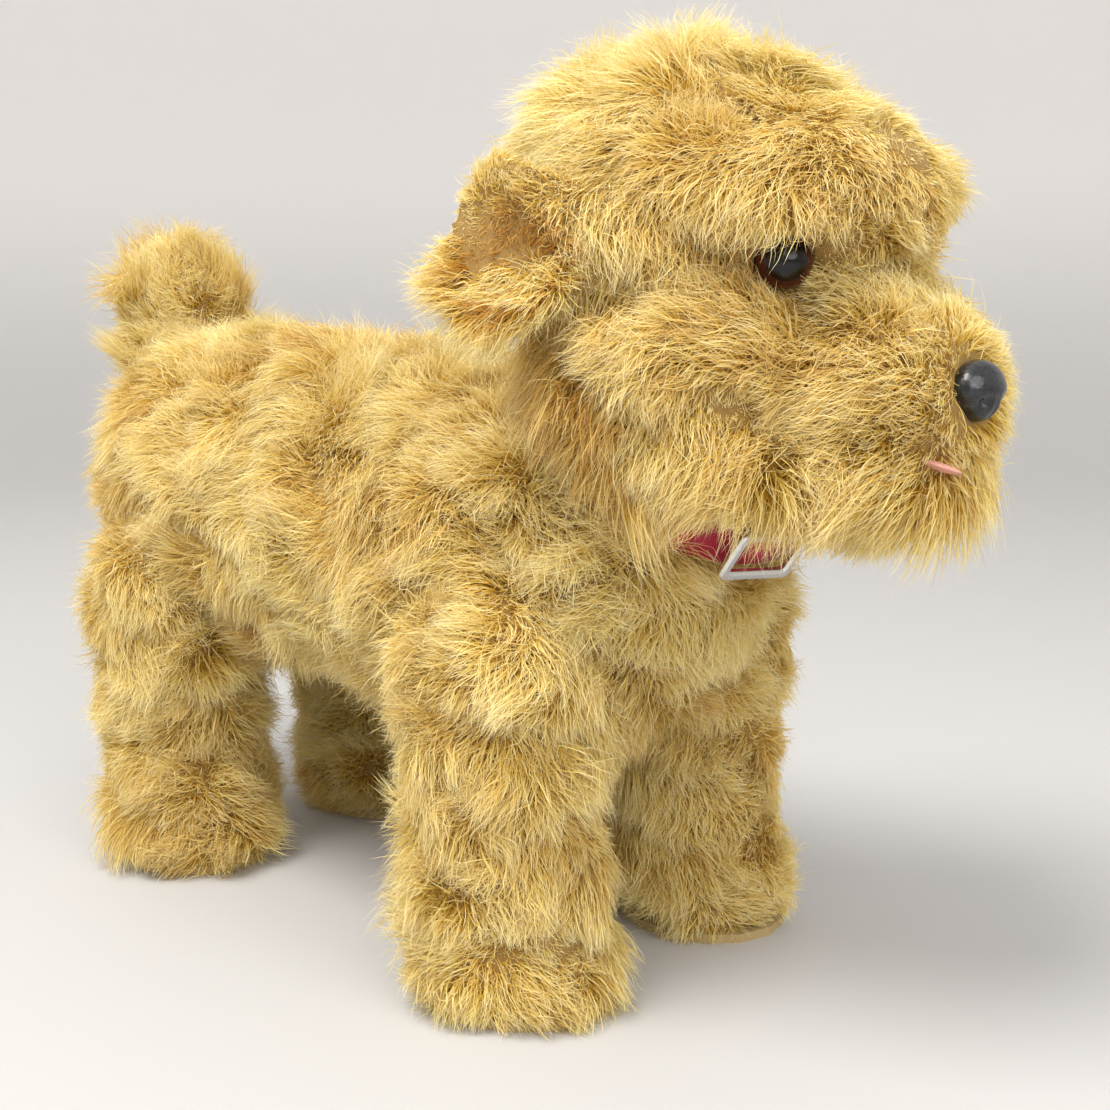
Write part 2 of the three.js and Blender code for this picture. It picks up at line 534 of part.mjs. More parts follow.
// Legs: two skin panels, a sole, stuffing and a wire with an eyelet on the cross wire
function legWire(x, side, growth) {
  const hip = new THREE.Vector3(x, side * LEG_SIDE, HIP_Z);
  const eyelet = new THREE.TorusGeometry(EYELET_RADIUS, WIRE_RADIUS + growth, 5, 8);
  eyelet.rotateX(Math.PI / 2);
  eyelet.translate(...hip.toArray());
  const foot = SOLE_THICK + FOOT_LOOP.above;
  const footLoop = new THREE.TorusGeometry(FOOT_LOOP.radius, WIRE_RADIUS + growth, 5, 9);
  footLoop.translate(x + FOOT_LOOP.ahead, hip.y, foot);
  return toSolid(eyelet).add(toSolid(footLoop)).add(cylinder(
    hip.clone().setZ(HIP_Z - EYELET_RADIUS), hip.clone().setZ(foot), WIRE_RADIUS + growth, 8));
}
LEGS.forEach(({ name, x, side, rear }) => {
  const seamY = side * LEG_SIDE;
  const skin = legForm(x, side, 0, rear).intersect(above(SOLE_THICK + GAP))
    .subtract(legForm(x, side, LEG_SKIN, rear)).subtract(crossHoles);
  const outer = side < 0 ? rightOf(seamY - SEAM) : leftOf(seamY + SEAM);
  const inner = side < 0 ? leftOf(seamY + SEAM) : rightOf(seamY - SEAM);
  piece(`leg_${name}_outer_panel`, skin.intersect(outer), PLUSH);
  piece(`leg_${name}_inner_panel`, skin.intersect(inner), PLUSH);
  piece(`leg_${name}_sole`, legForm(x, side, 0, rear).intersect(below(SOLE_THICK)), LINING);
  const filling = legForm(x, side, LEG_SKIN + GAP, rear).intersect(above(SOLE_THICK + GAP));
  piece(`leg_${name}_stuffing`, filling
    .subtract(legWire(x, side, GAP)).subtract(crossHoles)
    .subtract(eyeletPocket(new THREE.Vector3(x, seamY, HIP_Z), Y_AXIS)), FILLING);
  piece(`leg_${name}_wire`, legWire(x, side, 0), STEEL);
});

// Tail: two skin panels, stuffing and a wire with an eyelet on the spine wire
function tailWire(growth) {
  const eyelet = new THREE.TorusGeometry(EYELET_RADIUS, WIRE_RADIUS + growth, 5, 8);
  eyelet.rotateY(Math.PI / 2);
  eyelet.translate(...TAIL_BASE.toArray());
  return toSolid(eyelet).add(cylinder(
    TAIL_BASE.clone().addScaledVector(TAIL_AXIS, EYELET_RADIUS + 0.2),
    TAIL_BASE.clone().addScaledVector(TAIL_AXIS, TAIL_WIRE_LENGTH), WIRE_RADIUS + growth, 8));
}
const tailAxleRoom = cylinder(TAIL_BASE, tailAxleFront, WIRE_RADIUS + GAP + 0.1, 8)
  .add(cylinder(tailAxleRear.clone().setX(tailAxleRear.x - 0.6), TAIL_BASE, WIRE_RADIUS + GAP + 0.1, 8));
const tailSkin = tailForm(0).subtract(tailForm(TAIL_SKIN)).subtract(tailAxleRoom);
piece('tail_panel_right', tailSkin.intersect(rightOf(-SEAM)), PLUSH);
piece('tail_panel_left', tailSkin.intersect(leftOf(SEAM)), PLUSH);
piece('tail_stuffing', tailForm(TAIL_SKIN + GAP).subtract(tailAxleRoom).subtract(tailWire(GAP))
  .subtract(eyeletPocket(TAIL_BASE, X_AXIS)), FILLING);
piece('tail_wire', tailWire(0), STEEL);

// Collar: one strip that overlaps itself under the buckle and ends in a rounded tip
function collarStrap() {
  const positions = [];
  const index = [];
  const steps = 36;
  const total = 360 + STRAP_TIP_TURN - 4;
  const layerRise = STRAP_THICK + GAP + 0.1;
  for (let i = 0; i <= steps; i++) {
    const travelled = (total * i) / steps;
    const turn = THREE.MathUtils.degToRad(BUCKLE_TURN + 4 + travelled);
    const rise = layerRise * THREE.MathUtils.smoothstep(travelled, 270, 345);
    const tip = THREE.MathUtils.clamp((total - travelled) / 10, 0, 1);
    const halfWidth = (STRAP_WIDTH / 2) * (0.35 + 0.65 * Math.sqrt(1 - (1 - tip) ** 2));
    const out = THROAT.clone().multiplyScalar(Math.cos(turn)).addScaledVector(Y_AXIS, Math.sin(turn));
    for (const [thick, wide] of [[0, -1], [0, 1], [1, 1], [1, -1]]) {
      const p = neckPoint(-STRAP_DROP + wide * halfWidth)
        .addScaledVector(out, STRAP_RADIUS + rise + thick * STRAP_THICK);
      positions.push(p.x, p.y, p.z);
    }
  }
  for (let i = 0; i < steps; i++) {
    for (let k = 0; k < 4; k++) {
      const a = 4 * i + k;
      const b = 4 * i + ((k + 1) % 4);
      index.push(a, b, b + 4, a, b + 4, a + 4);
    }
  }
  const end = 4 * steps;
  index.push(0, 2, 1, 0, 3, 2, end, end + 1, end + 2, end, end + 2, end + 3);
  const geometry = new THREE.BufferGeometry();
  geometry.setAttribute('position', new THREE.Float32BufferAttribute(positions, 3));
  geometry.setIndex(index);
  return toSolid(geometry);
}
function roundedRectangle(width, height, corner, Kind) {
  const [w, h] = [width / 2, height / 2];
  const outline = new Kind();
  outline.moveTo(-w + corner, -h);
  outline.lineTo(w - corner, -h);
  outline.absarc(w - corner, -h + corner, corner, -Math.PI / 2, 0);
  outline.lineTo(w, h - corner);
  outline.absarc(w - corner, h - corner, corner, 0, Math.PI / 2);
  outline.lineTo(-w + corner, h);
  outline.absarc(-w + corner, h - corner, corner, Math.PI / 2, Math.PI);
  outline.lineTo(-w, -h + corner);
  outline.absarc(-w + corner, -h + corner, corner, Math.PI, 1.5 * Math.PI);
  return outline;
}
function buckleFrame() {
  const outline = roundedRectangle(BUCKLE_LENGTH, BUCKLE_HEIGHT, 2, THREE.Shape);
  outline.holes.push(roundedRectangle(
    BUCKLE_LENGTH - 2 * BUCKLE_BAR, BUCKLE_HEIGHT - 2 * BUCKLE_BAR, 0.8, THREE.Path));
  const geometry = new THREE.ExtrudeGeometry(outline, {
    depth: BUCKLE_THICK - 1, bevelEnabled: true, bevelThickness: 0.5, bevelSize: 0.5, bevelOffset: -0.5,
    bevelSegments: 1, curveSegments: 2,
  });
  const turn = THREE.MathUtils.degToRad(BUCKLE_TURN);
  const out = THROAT.clone().multiplyScalar(Math.cos(turn)).addScaledVector(Y_AXIS, Math.sin(turn));
  const round = new THREE.Vector3().crossVectors(NECK_AXIS, out);
  const faceFrom = STRAP_RADIUS + 2 * STRAP_THICK + 4 * GAP + 0.5;
  const frame = new THREE.Matrix4().makeBasis(round, NECK_AXIS, out)
    .setPosition(neckPoint(-STRAP_DROP).addScaledVector(out, faceFrom));
  return placed(geometry, frame);
}
piece('collar_strap', collarStrap(), VINYL);
piece('collar_buckle', buckleFrame(), CHROME);

export default group;
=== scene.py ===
"""Looks of a standing plush dog: mohair pile on sewn cloth skins, button eyes and nose, a felt tongue
and a buckled collar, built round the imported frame. Fur is worked out in millimetres and kept in metres."""
import json
import math

import bmesh
import bpy
import numpy as np
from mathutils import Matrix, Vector
from mathutils.kdtree import KDTree


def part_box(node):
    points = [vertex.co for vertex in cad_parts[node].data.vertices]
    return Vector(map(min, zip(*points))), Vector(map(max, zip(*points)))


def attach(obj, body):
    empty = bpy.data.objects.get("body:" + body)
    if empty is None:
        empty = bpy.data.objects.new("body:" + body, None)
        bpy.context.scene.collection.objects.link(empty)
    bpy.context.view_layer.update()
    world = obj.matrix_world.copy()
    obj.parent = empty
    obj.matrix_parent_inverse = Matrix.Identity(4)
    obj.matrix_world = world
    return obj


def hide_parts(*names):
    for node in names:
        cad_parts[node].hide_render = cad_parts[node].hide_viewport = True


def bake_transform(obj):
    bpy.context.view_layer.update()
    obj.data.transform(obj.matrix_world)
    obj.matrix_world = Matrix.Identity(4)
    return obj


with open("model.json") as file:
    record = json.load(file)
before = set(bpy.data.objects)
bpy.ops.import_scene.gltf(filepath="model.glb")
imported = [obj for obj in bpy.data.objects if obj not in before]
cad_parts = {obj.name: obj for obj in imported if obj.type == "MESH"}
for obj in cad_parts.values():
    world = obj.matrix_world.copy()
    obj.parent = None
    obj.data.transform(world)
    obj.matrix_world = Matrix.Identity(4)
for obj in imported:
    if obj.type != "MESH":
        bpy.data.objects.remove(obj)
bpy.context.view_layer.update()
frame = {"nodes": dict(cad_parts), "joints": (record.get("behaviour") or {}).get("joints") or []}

MM = 0.001


# ---- Camera, floor and light -----------------------------------------------------------------
def box_centre(node):
    low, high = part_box(node)
    return (low + high) / 2


VIEW_AZIMUTH, VIEW_ELEVATION = math.radians(45), math.radians(9.7)
VIEW_DISTANCE = 0.366
VIEW_TARGET = Vector((0.0289, 0, 0.0896))
SENSOR_WIDTH, LENS = 36, 51.9


def make_camera():
    data = bpy.data.cameras.new("camera")
    data.sensor_width = SENSOR_WIDTH
    data.lens = LENS
    data.clip_start = 0.01
    camera = bpy.data.objects.new("camera", data)
    bpy.context.scene.collection.objects.link(camera)
    level = math.cos(VIEW_ELEVATION)
    away = Vector((level * math.sin(VIEW_AZIMUTH), -level * math.cos(VIEW_AZIMUTH),
                   math.sin(VIEW_ELEVATION)))
    camera.location = VIEW_TARGET + away * VIEW_DISTANCE
    camera.rotation_euler = (-away).to_track_quat("-Z", "Y").to_euler()
    bpy.context.scene.camera = camera


def link_mesh(name, mesh):
    thing = bpy.data.objects.new(name, mesh)
    bpy.context.scene.collection.objects.link(thing)
    return thing


def mesh_from(name, form, smooth=True):
    """Keeps a bmesh as a mesh, its faces smooth or only its four-sided ones when smooth is False."""
    mesh = bpy.data.meshes.new(name)
    form.to_mesh(mesh)
    form.free()
    for polygon in mesh.polygons:
        polygon.use_smooth = smooth or len(polygon.vertices) == 4
    return mesh


def circle(form, radius, height, sides):
    """Bmesh vertices on a level circle, in metres."""
    return [form.verts.new((radius * math.cos(2 * math.pi * k / sides),
                            radius * math.sin(2 * math.pi * k / sides), height)) for k in range(sides)]


def node_material(name):
    """A new material, its node tree and its Principled node."""
    material = bpy.data.materials.new(name)
    material.use_nodes = True
    tree = material.node_tree
    return material, tree, tree.nodes["Principled BSDF"]


def ramp(tree, source, stops):
    """A colour ramp fed by source, from (position, colour) stops."""
    node = tree.nodes.new("ShaderNodeValToRGB")
    node.color_ramp.interpolation = "EASE"
    while len(node.color_ramp.elements) > 1:
        node.color_ramp.elements.remove(node.color_ramp.elements[-1])
    for i, (position, colour) in enumerate(stops):
        stop = node.color_ramp.elements[0] if i == 0 else node.color_ramp.elements.new(position)
        stop.position = position
        stop.color = (*colour, 1)
    tree.links.new(source, node.inputs["Fac"])
    return node.outputs["Color"]


def make_floor():
    """A round pale studio sweep: a flat floor that curves up into a wall, the same from every side."""
    flat, bend, wall, sides, steps = 0.9, 0.9, 2.6, 96, 24
    profile = [(flat / 2, 0.0), (flat, 0.0)]
    for i in range(1, steps + 1):
        turn = math.pi / 2 * i / steps
        profile.append((flat + bend * math.sin(turn), bend * (1 - math.cos(turn))))
    profile.append((flat + bend, wall))
    form = bmesh.new()
    rows = [circle(form, radius, height, sides) for radius, height in profile]
    form.faces.new(rows[0])
    for low, high in zip(rows, rows[1:]):
        for k in range(sides):
            form.faces.new((low[k], high[k], high[(k + 1) % sides], low[(k + 1) % sides]))
    mesh = mesh_from("studio_sweep", form, smooth=False)
    sweep = link_mesh("studio_sweep", mesh)
    material, tree, shader = node_material("sweep_paint")
    place = tree.nodes.new("ShaderNodeTexCoord")
    split = tree.nodes.new("ShaderNodeSeparateXYZ")
    tree.links.new(place.outputs["Object"], split.inputs["Vector"])
    paint = ramp(tree, split.outputs["Z"], [(0, (0.50, 0.495, 0.49)), (0.30, (0.72, 0.705, 0.695)),
                                            (1, (0.84, 0.825, 0.81))])
    tree.links.new(paint, shader.inputs["Base Color"])
    shader.inputs["Roughness"].default_value = 0.6
    shader.inputs["Specular IOR Level"].default_value = 0.2
    mesh.materials.append(material)


def area_light(name, place, aim, size, power, colour):
    data = bpy.data.lights.new(name, "AREA")
    data.shape = "DISK"
    data.size = size
    data.energy = power
    data.color = colour
    light = bpy.data.objects.new(name, data)
    bpy.context.scene.collection.objects.link(light)
    light.location = place
    light.rotation_euler = (Vector(aim) - Vector(place)).to_track_quat("-Z", "Y").to_euler()


def make_light():
    world = bpy.data.worlds.new("studio")
    world.use_nodes = True
    sky = world.node_tree.nodes["Background"]
    sky.inputs["Color"].default_value = (1, 0.99, 0.985, 1)
    sky.inputs["Strength"].default_value = 1.0
    bpy.context.scene.world = world
    bpy.context.scene.view_settings.view_transform = "Standard"
    middle = (0, 0, 0.1)
    area_light("key", (0.0, -0.55, 1.1), middle, size=0.6, power=15, colour=(1, 0.98, 0.95))
    area_light("fill", (0.85, -0.3, 0.6), middle, size=0.9, power=6.5, colour=(1, 0.99, 0.98))


# ---- Cloth skins under the pile --------------------------------------------------------------
LEGS = ("leg_front_right", "leg_front_left", "leg_rear_right", "leg_rear_left")
SKIN_NODES = {
    "root": ("body_panel_right", "body_panel_left", "belly_gusset"),
    "head": ("head_panel_right", "head_panel_left", "head_centre_gusset", "chin_gusset"),
    "tail": ("tail_panel_right", "tail_panel_left"),
    **{leg: (leg + "_outer_panel", leg + "_inner_panel") for leg in LEGS},
}
STUFFING = {"root": "body_stuffing", "head": "head_stuffing", "tail": "tail_stuffing",
            **{leg: leg + "_stuffing" for leg in LEGS}}


def apply_modifiers(thing):
    """Keeps what the modifiers make as the piece's own mesh."""
    bpy.context.view_layer.update()
    mesh = bpy.data.meshes.new_from_object(thing.evaluated_get(bpy.context.evaluated_depsgraph_get()))
    thing.modifiers.clear()
    thing.data = mesh
    mesh.name = thing.name


def joined_nodes(name, nodes):
    form = bmesh.new()
    for node in nodes:
        form.from_mesh(frame["nodes"][node].data)
    mesh = bpy.data.meshes.new(name)
    form.to_mesh(mesh)
    form.free()
    return link_mesh(name, mesh)


def rounded_skin(name, nodes, voxel=2.2, rounds=6):
    """One closed cloth form over the nodes, remeshed at voxel millimetres, its facets smoothed away."""
    skin = joined_nodes(name, nodes)
    remesh = skin.modifiers.new("remesh", "REMESH")
    remesh.mode = "VOXEL"
    remesh.voxel_size = voxel * MM
    smooth = skin.modifiers.new("smooth", "SMOOTH")
    smooth.factor = 0.6
    smooth.iterations = rounds
    apply_modifiers(skin)
    for polygon in skin.data.polygons:
        polygon.use_smooth = True
    return skin


# ---- Pile -------------------------------------------------------------------------------------
def unit(v):
    return v / np.maximum(np.linalg.norm(v, axis=-1, keepdims=True), 1e-9)


class Waves:
    """Smooth vector noise: a sum of waves with a given wavelength, in millimetres."""

    def __init__(self, wavelength, seed, count=14, width=3):
        source = np.random.default_rng(seed)
        way = unit(source.normal(size=(count, 3)))
        self.k = way * (2 * math.pi / (wavelength * source.uniform(0.7, 1.5, (count, 1))))
        self.phase = source.uniform(0, 2 * math.pi, count)
        self.push = source.normal(size=(count, width)) * math.sqrt(2 / count)

    def __call__(self, p):
        return np.sin(p @ self.k.T + self.phase) @ self.push


# Slow changes over the coat: of direction, of tone and of length
SWIRL_WIDE = Waves(34, 1)
SWIRL_FINE = Waves(13, 2)
TONE_WIDE = Waves(42, 3, width=1)
LENGTH_WAVE = Waves(17, 4, width=1)


def surface_of(skin):
    """Triangle corners, corner normals and areas of a skin, in millimetres."""
    mesh = skin.data
    mesh.calc_loop_triangles()
    co = np.zeros(len(mesh.vertices) * 3, np.float32)
    mesh.vertices.foreach_get("co", co)
    no = np.zeros(len(mesh.vertices) * 3, np.float32)
    mesh.vertices.foreach_get("normal", no)
    tri = np.zeros(len(mesh.loop_triangles) * 3, np.int32)
    mesh.loop_triangles.foreach_get("vertices", tri)
    co, no, tri = co.reshape(-1, 3) / MM, no.reshape(-1, 3), tri.reshape(-1, 3)
    a, b, c = co[tri[:, 0]], co[tri[:, 1]], co[tri[:, 2]]
    area = np.linalg.norm(np.cross(b - a, c - a), axis=1) / 2
    return co, no, tri, area


def scatter(skin_data, density, weight, seed):
    """Random roots on the skin, more of them where the vertex weights are higher: places and normals."""
    co, no, tri, area = skin_data
    source = np.random.default_rng(seed)
    share = area * weight[tri].mean(axis=1)
    count = int(share.sum() * density)
    pick = source.choice(len(tri), count, p=share / share.sum())
    r1, r2 = np.sqrt(source.random(count)), source.random(count)
    bary = np.stack([1 - r1, r1 * (1 - r2), r1 * r2], axis=1)[:, :, None]
    place = (co[tri[pick]] * bary).sum(axis=1)
    normal = unit((no[tri[pick]] * bary).sum(axis=1))
    return place, normal


ROOT_DEPTH = 0.8                 # how far a strand starts inside the cloth
ROOT_LEAN = math.radians(27)     # a strand's lean from the normal where it leaves the cloth
WIDE_SWIRL, FINE_SWIRL, LOOSE = 0.55, 0.85, 0.32
SAG = 0.22


def grow(place, normal, comb, length, lay, curl, swirl, seed, steps):
    """Strand centrelines, (count, steps + 1, 3). Each leaves along the normal, then lies over by
    up to lay towards comb, turned about by swirl."""
    source = np.random.default_rng(seed)
    count = len(place)
    lean = comb + swirl * (WIDE_SWIRL * SWIRL_WIDE(place) + FINE_SWIRL * SWIRL_FINE(place))
    lean += source.normal(size=(count, 3)) * LOOSE
    lean -= normal * (lean * normal).sum(axis=1, keepdims=True)
    strength = np.linalg.norm(lean, axis=1)
    way = lean / np.maximum(strength, 1e-6)[:, None]
    side = np.cross(normal, way)
    reach = np.clip(strength, 0.55, 1.0)
    start = ROOT_LEAN * source.uniform(0.4, 1.4, count)
    end = lay * reach * source.uniform(0.8, 1.12, count)
    phase, turns = source.uniform(0, 2 * math.pi, count), source.uniform(0.5, 1.3, count)
    bend = source.normal(size=count) * curl
    points = [place - normal * ROOT_DEPTH]
    step = length / steps
    for i in range(steps):
        t = (i + 0.5) / steps
        angle = start + (end - start) * t ** 0.7
        d = normal * np.cos(angle)[:, None] + way * np.sin(angle)[:, None]
        wobble = bend * np.cos(2 * math.pi * turns * t + phase) * 1.6 + bend * t
        d = d + side * wobble[:, None]
        d[:, 2] -= SAG * t
        points.append(points[-1] + unit(d) * step[:, None])
    return np.stack(points, axis=1)


def gather(strands, spread, strength, seed):
    """Draws the strands' outer ends towards the nearest of the lead strands, one for each spread of
    them, into soft locks. Gives the strands and the number of each one's lock."""
    source = np.random.default_rng(seed)
    count = len(strands)
    leads = source.choice(count, max(1, count // spread), replace=False)
    tree = KDTree(len(leads))
    for n, i in enumerate(leads):
        tree.insert(strands[i, 0], n)
    tree.balance()
    lock = np.array([tree.find(p)[1] for p in strands[:, 0]])
    lead = strands[leads[lock]]
    steps = strands.shape[1] - 1
    t = (np.arange(steps + 1) / steps) ** 1.3
    pull = strength * t[None, :, None] * source.uniform(0.3, 1.0, (count, 1, 1))
    return strands + (lead - strands) * pull, lock


FLOOR_GAP = 0.25                 # no strand comes lower than this


def ribbons(name, strands, normal, width, tone_with_painted_shading, seed):
    """A mesh of tapered ribbons along the strands, with tone (painted light and shade included) and
    root-to-tip in its UV map.
    """
    source = np.random.default_rng(seed)
    count, rows = strands.shape[:2]
    along = np.gradient(strands, axis=1)
    roll = source.normal(size=(count, 1)) * 0.9
    across = unit(np.cross(along, normal[:, None, :]))
    upward = unit(np.cross(across, along))
    across = across * np.cos(roll)[:, :, None] + upward * np.sin(roll)[:, :, None]
    t = np.arange(rows) / (rows - 1)
    taper = np.minimum(1, 1.35 - t)
    half = width[:, None] * taper[None, :] / 2
    left = strands[:, :-1] - across[:, :-1] * half[:, :-1, None]
    right = strands[:, :-1] + across[:, :-1] * half[:, :-1, None]
    tip = strands[:, -1:]
    pair = np.stack([left, right], axis=2).reshape(count, -1, 3)
    vertices = np.concatenate([pair, tip], axis=1)
    per = vertices.shape[1]
    local = []
    for i in range(rows - 2):
        a = 2 * i
        local += [(a, a + 1, a + 3), (a, a + 3, a + 2)]
    a = 2 * (rows - 2)
    local.append((a, a + 1, a + 2))
    local = np.array(local)
    faces = (local[None] + (np.arange(count) * per)[:, None, None]).reshape(-1, 3)
    v_row = np.append(np.repeat(t[:-1], 2), 1.0)
    uv = np.stack([np.repeat(tone_with_painted_shading, per), np.tile(v_row, count)], axis=1)
    vertices = vertices.reshape(-1, 3)
    vertices[:, 2] = np.maximum(vertices[:, 2], FLOOR_GAP)
    mesh = bpy.data.meshes.new(name)
    mesh.vertices.add(len(vertices))
    mesh.vertices.foreach_set("co", (vertices * MM).astype(np.float32).ravel())
    mesh.loops.add(faces.size)
    mesh.loops.foreach_set("vertex_index", faces.astype(np.int32).ravel())
    mesh.polygons.add(len(faces))
    mesh.polygons.foreach_set("loop_start", np.arange(0, faces.size, 3, dtype=np.int32))
    mesh.polygons.foreach_set("use_smooth", np.ones(len(faces), bool))
    mesh.update(calc_edges=True)
    layer = mesh.uv_layers.new(name="OFBake")
    layer.data.foreach_set("uv", uv[faces.ravel()].astype(np.float32).ravel())
    return link_mesh(name, mesh)


def mix_colour(tree, mode, amount, a, b):
    node = tree.nodes.new("ShaderNodeMix")
    node.data_type = "RGBA"
    node.blend_type = mode
    node.inputs["Factor"].default_value = amount
    tree.links.new(a, node.inputs["A"])
    tree.links.new(b, node.inputs["B"])
    return node.outputs["Result"]


def pile_material():
    """Golden mohair: brown at the root, partly as painted shade deep in the pile, and pale at the tip,
    darker or lighter by each strand's tone and the painted light and shade in it.
    """
    material, tree, shader = node_material("mohair_pile")
    uv = tree.nodes.new("ShaderNodeUVMap")
    uv.uv_map = "OFBake"
    split = tree.nodes.new("ShaderNodeSeparateXYZ")
    tree.links.new(uv.outputs["UV"], split.inputs["Vector"])
    # Root to tip: the dark brown at the root is partly painted shade deep in the pile
    along = ramp(tree, split.outputs["Y"], [(0, (0.46, 0.225, 0.012)), (0.3, (0.77, 0.55, 0.09)),
                                            (0.65, (0.92, 0.80, 0.35)), (1, (0.98, 0.93, 0.66))])
    # Each strand's tone, which carries the painted light and shade of the head and ears
    tone_with_painted_shading = ramp(tree, split.outputs["X"], [(0, (0.66, 0.43, 0.20)), (0.35, (0.88, 0.78, 0.60)),
                                           (0.65, (0.97, 0.94, 0.88)), (1, (1, 1, 1))])
    colour = mix_colour(tree, "MULTIPLY", 1, along, tone_with_painted_shading)
    tree.links.new(colour, shader.inputs["Base Color"])
    shader.inputs["Roughness"].default_value = 0.62
    shader.inputs["Specular IOR Level"].default_value = 0.35
    glow = tree.nodes.new("ShaderNodeBsdfTranslucent")
    tree.links.new(colour, glow.inputs["Color"])
    both = tree.nodes.new("ShaderNodeMixShader")
    both.inputs["Fac"].default_value = 0.35
    tree.links.new(shader.outputs["BSDF"], both.inputs[1])
    tree.links.new(glow.outputs["BSDF"], both.inputs[2])
    tree.links.new(both.outputs["Shader"], tree.nodes["Material Output"].inputs["Surface"])
    return material


def backing_material():
    material, tree, shader = node_material("backing_cloth")
    weave = tree.nodes.new("ShaderNodeTexNoise")
    weave.inputs["Scale"].default_value = 900
    colour = ramp(tree, weave.outputs["Fac"], [(0.3, (0.22, 0.125, 0.03)), (0.7, (0.34, 0.21, 0.06))])
    tree.links.new(colour, shader.inputs["Base Color"])
    shader.inputs["Roughness"].default_value = 0.9
    return material


# ---- Landmarks of the frame, in millimetres -----------------------------------------------------
def mm(v):
    return np.array(v) / MM


def joint_named(name):
    return next(j for j in frame["joints"] if j["name"] == name)


NOSE = mm(box_centre("nose"))
EYE = {side: mm(box_centre("eye_" + side)) for side in ("right", "left")}
EYES = (EYE["right"] + EYE["left"]) / 2
TONGUE = mm(box_centre("tongue"))
BUCKLE = mm(box_centre("collar_buckle"))
SEAT = mm(joint_named("head_turn")["pos_m"])
NECK_AXIS = np.array(joint_named("head_turn")["axis"])
THROAT = np.array([NECK_AXIS[2], 0, -NECK_AXIS[0]])
HIP = {leg: mm(joint_named(leg + "_swing")["pos_m"]) for leg in LEGS}
TAIL_ROOT = mm(joint_named("tail_wag")["pos_m"])
TAIL_TOP = mm(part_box("tail_panel_right")[1])[2]
TAIL_AXIS = unit(np.array([mm(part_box("tail_wire")[0])[0] - TAIL_ROOT[0], 0, TAIL_TOP - TAIL_ROOT[2]]))
CROWN_Z = mm(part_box("head_centre_gusset")[1])[2]


def ease(x, start, end):
    """0 before start, 1 after end, smooth between; start may be the larger."""
    t = np.clip((x - start) / (end - start), 0, 1)
    return t * t * (3 - 2 * t)


def near(p, centre, radius, soft):
    """1 within radius of centre, falling to 0 over soft."""
    return 1 - ease(np.linalg.norm(p - centre, axis=1), radius, radius + soft)


def about(p, origin, axis):
    """Each place's height along an axis through origin, and its distance from the axis."""
    out = p - origin
    height = out @ axis
    return height, np.linalg.norm(out - np.outer(height, axis), axis=1)


def throat_window(p):
    """1 round the throat, where the collar shows, and 0 behind."""
    out = p - SEAT
    angle = np.degrees(np.arctan2(np.abs(out[:, 1]), out @ THROAT))
    return 1 - ease(angle, 42, 60)


# ---- The coat: where it is combed, how long it stands, where light and shade are painted on it and where there is none ---
# Each function takes places p in millimetres. A comb's length says how firmly it lays the strands.
def comb_torso(p):
    way = np.tile([-0.55, 0, -0.66], (len(p), 1))
    way = way + np.array([0, 0, 0.42]) * ease(p[:, 2], 12, 4)[:, None]
    chest = (ease(p[:, 0], 25, 60) * ease(p[:, 2], 8, 16))[:, None]
    way = way * (1 - chest) + np.array([-0.05, 0, -0.85]) * chest
    ring = neck_ring(p)[:, None]
    way = way * (1 - ring) + NECK_AXIS * 1.1 * ring
    tail = tail_share(p)[:, None]
    return way * (1 - tail) + (TAIL_AXIS * 0.75) * tail


def comb_head(p):
    x, z = p[:, 0], p[:, 2]
    muzzle = (ease(z, EYES[2] + 1, EYES[2] - 7) * ease(x, EYES[0] - 22, EYES[0] - 4))[:, None]
    brow = (ease(z, EYES[2] - 2, EYES[2] + 6) * ease(x, EYES[0] - 22, EYES[0] - 8))[:, None]
    crown = ease(z, CROWN_Z - 11, CROWN_Z - 2)[:, None]
    way = np.tile([-0.30, 0, -0.85], (len(p), 1))
    from_nose = unit(p - (NOSE + [4, 0, 4])) * 1.15 + np.array([0, 0, -0.12])
    way = way * (1 - muzzle) + from_nose * muzzle
    forehead = np.array([0.30, 0, -0.55]) + unit(p - EYES) * [0, 0.45, 0]
    way = way * (1 - brow) + forehead * brow
    upright = unit(p - np.array([EYES[0] - 40, 0, CROWN_Z - 30])) * 0.35 + np.array([0.15, -0.1, 0])
    return way * (1 - crown) + upright * crown


def outwards(side):
    return -1 if side == "right" else 1


def ear_frame(side):
    """Middle of an ear's hollow, the way its outward face looks, and half its height."""
    low, high = (mm(v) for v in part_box("ear_outer_" + side))
    normal = unit(np.array([0.33, outwards(side) * 0.84, 0.40]))
    return (low + high) / 2 + np.array([1.5, 0, -3]), normal, (high[2] - low[2]) / 2


FACE_DEPTH = -1                  # an ear's outward face is what lies further out than this


def comb_ear(side):
    middle, normal, _ = ear_frame(side)

    def comb(p):
        out = p - middle
        facing = out @ normal
        out = unit(out - np.outer(facing, normal))
        back = out * 0.55 + np.array([-0.30, outwards(side) * 0.15, -0.55])
        face = out * 0.8 + np.array([-0.22, 0, -0.16])
        return np.where((facing > FACE_DEPTH)[:, None], face, back)
    return comb


def tail_share(p):
    """0 on the rump, 1 on the tail."""
    height, aside = about(p, TAIL_ROOT, TAIL_AXIS)
    return ease(height, 2, 10) * (1 - ease(aside, 22, 28))


def neck_ring(p):
    """1 just below the collar at the nape and sides, where the pile is brushed up over it."""
    height, aside = about(p, SEAT, NECK_AXIS)
    return ease(height, -24, -16) * ease(aside, 52, 42) * (1 - throat_window(p))


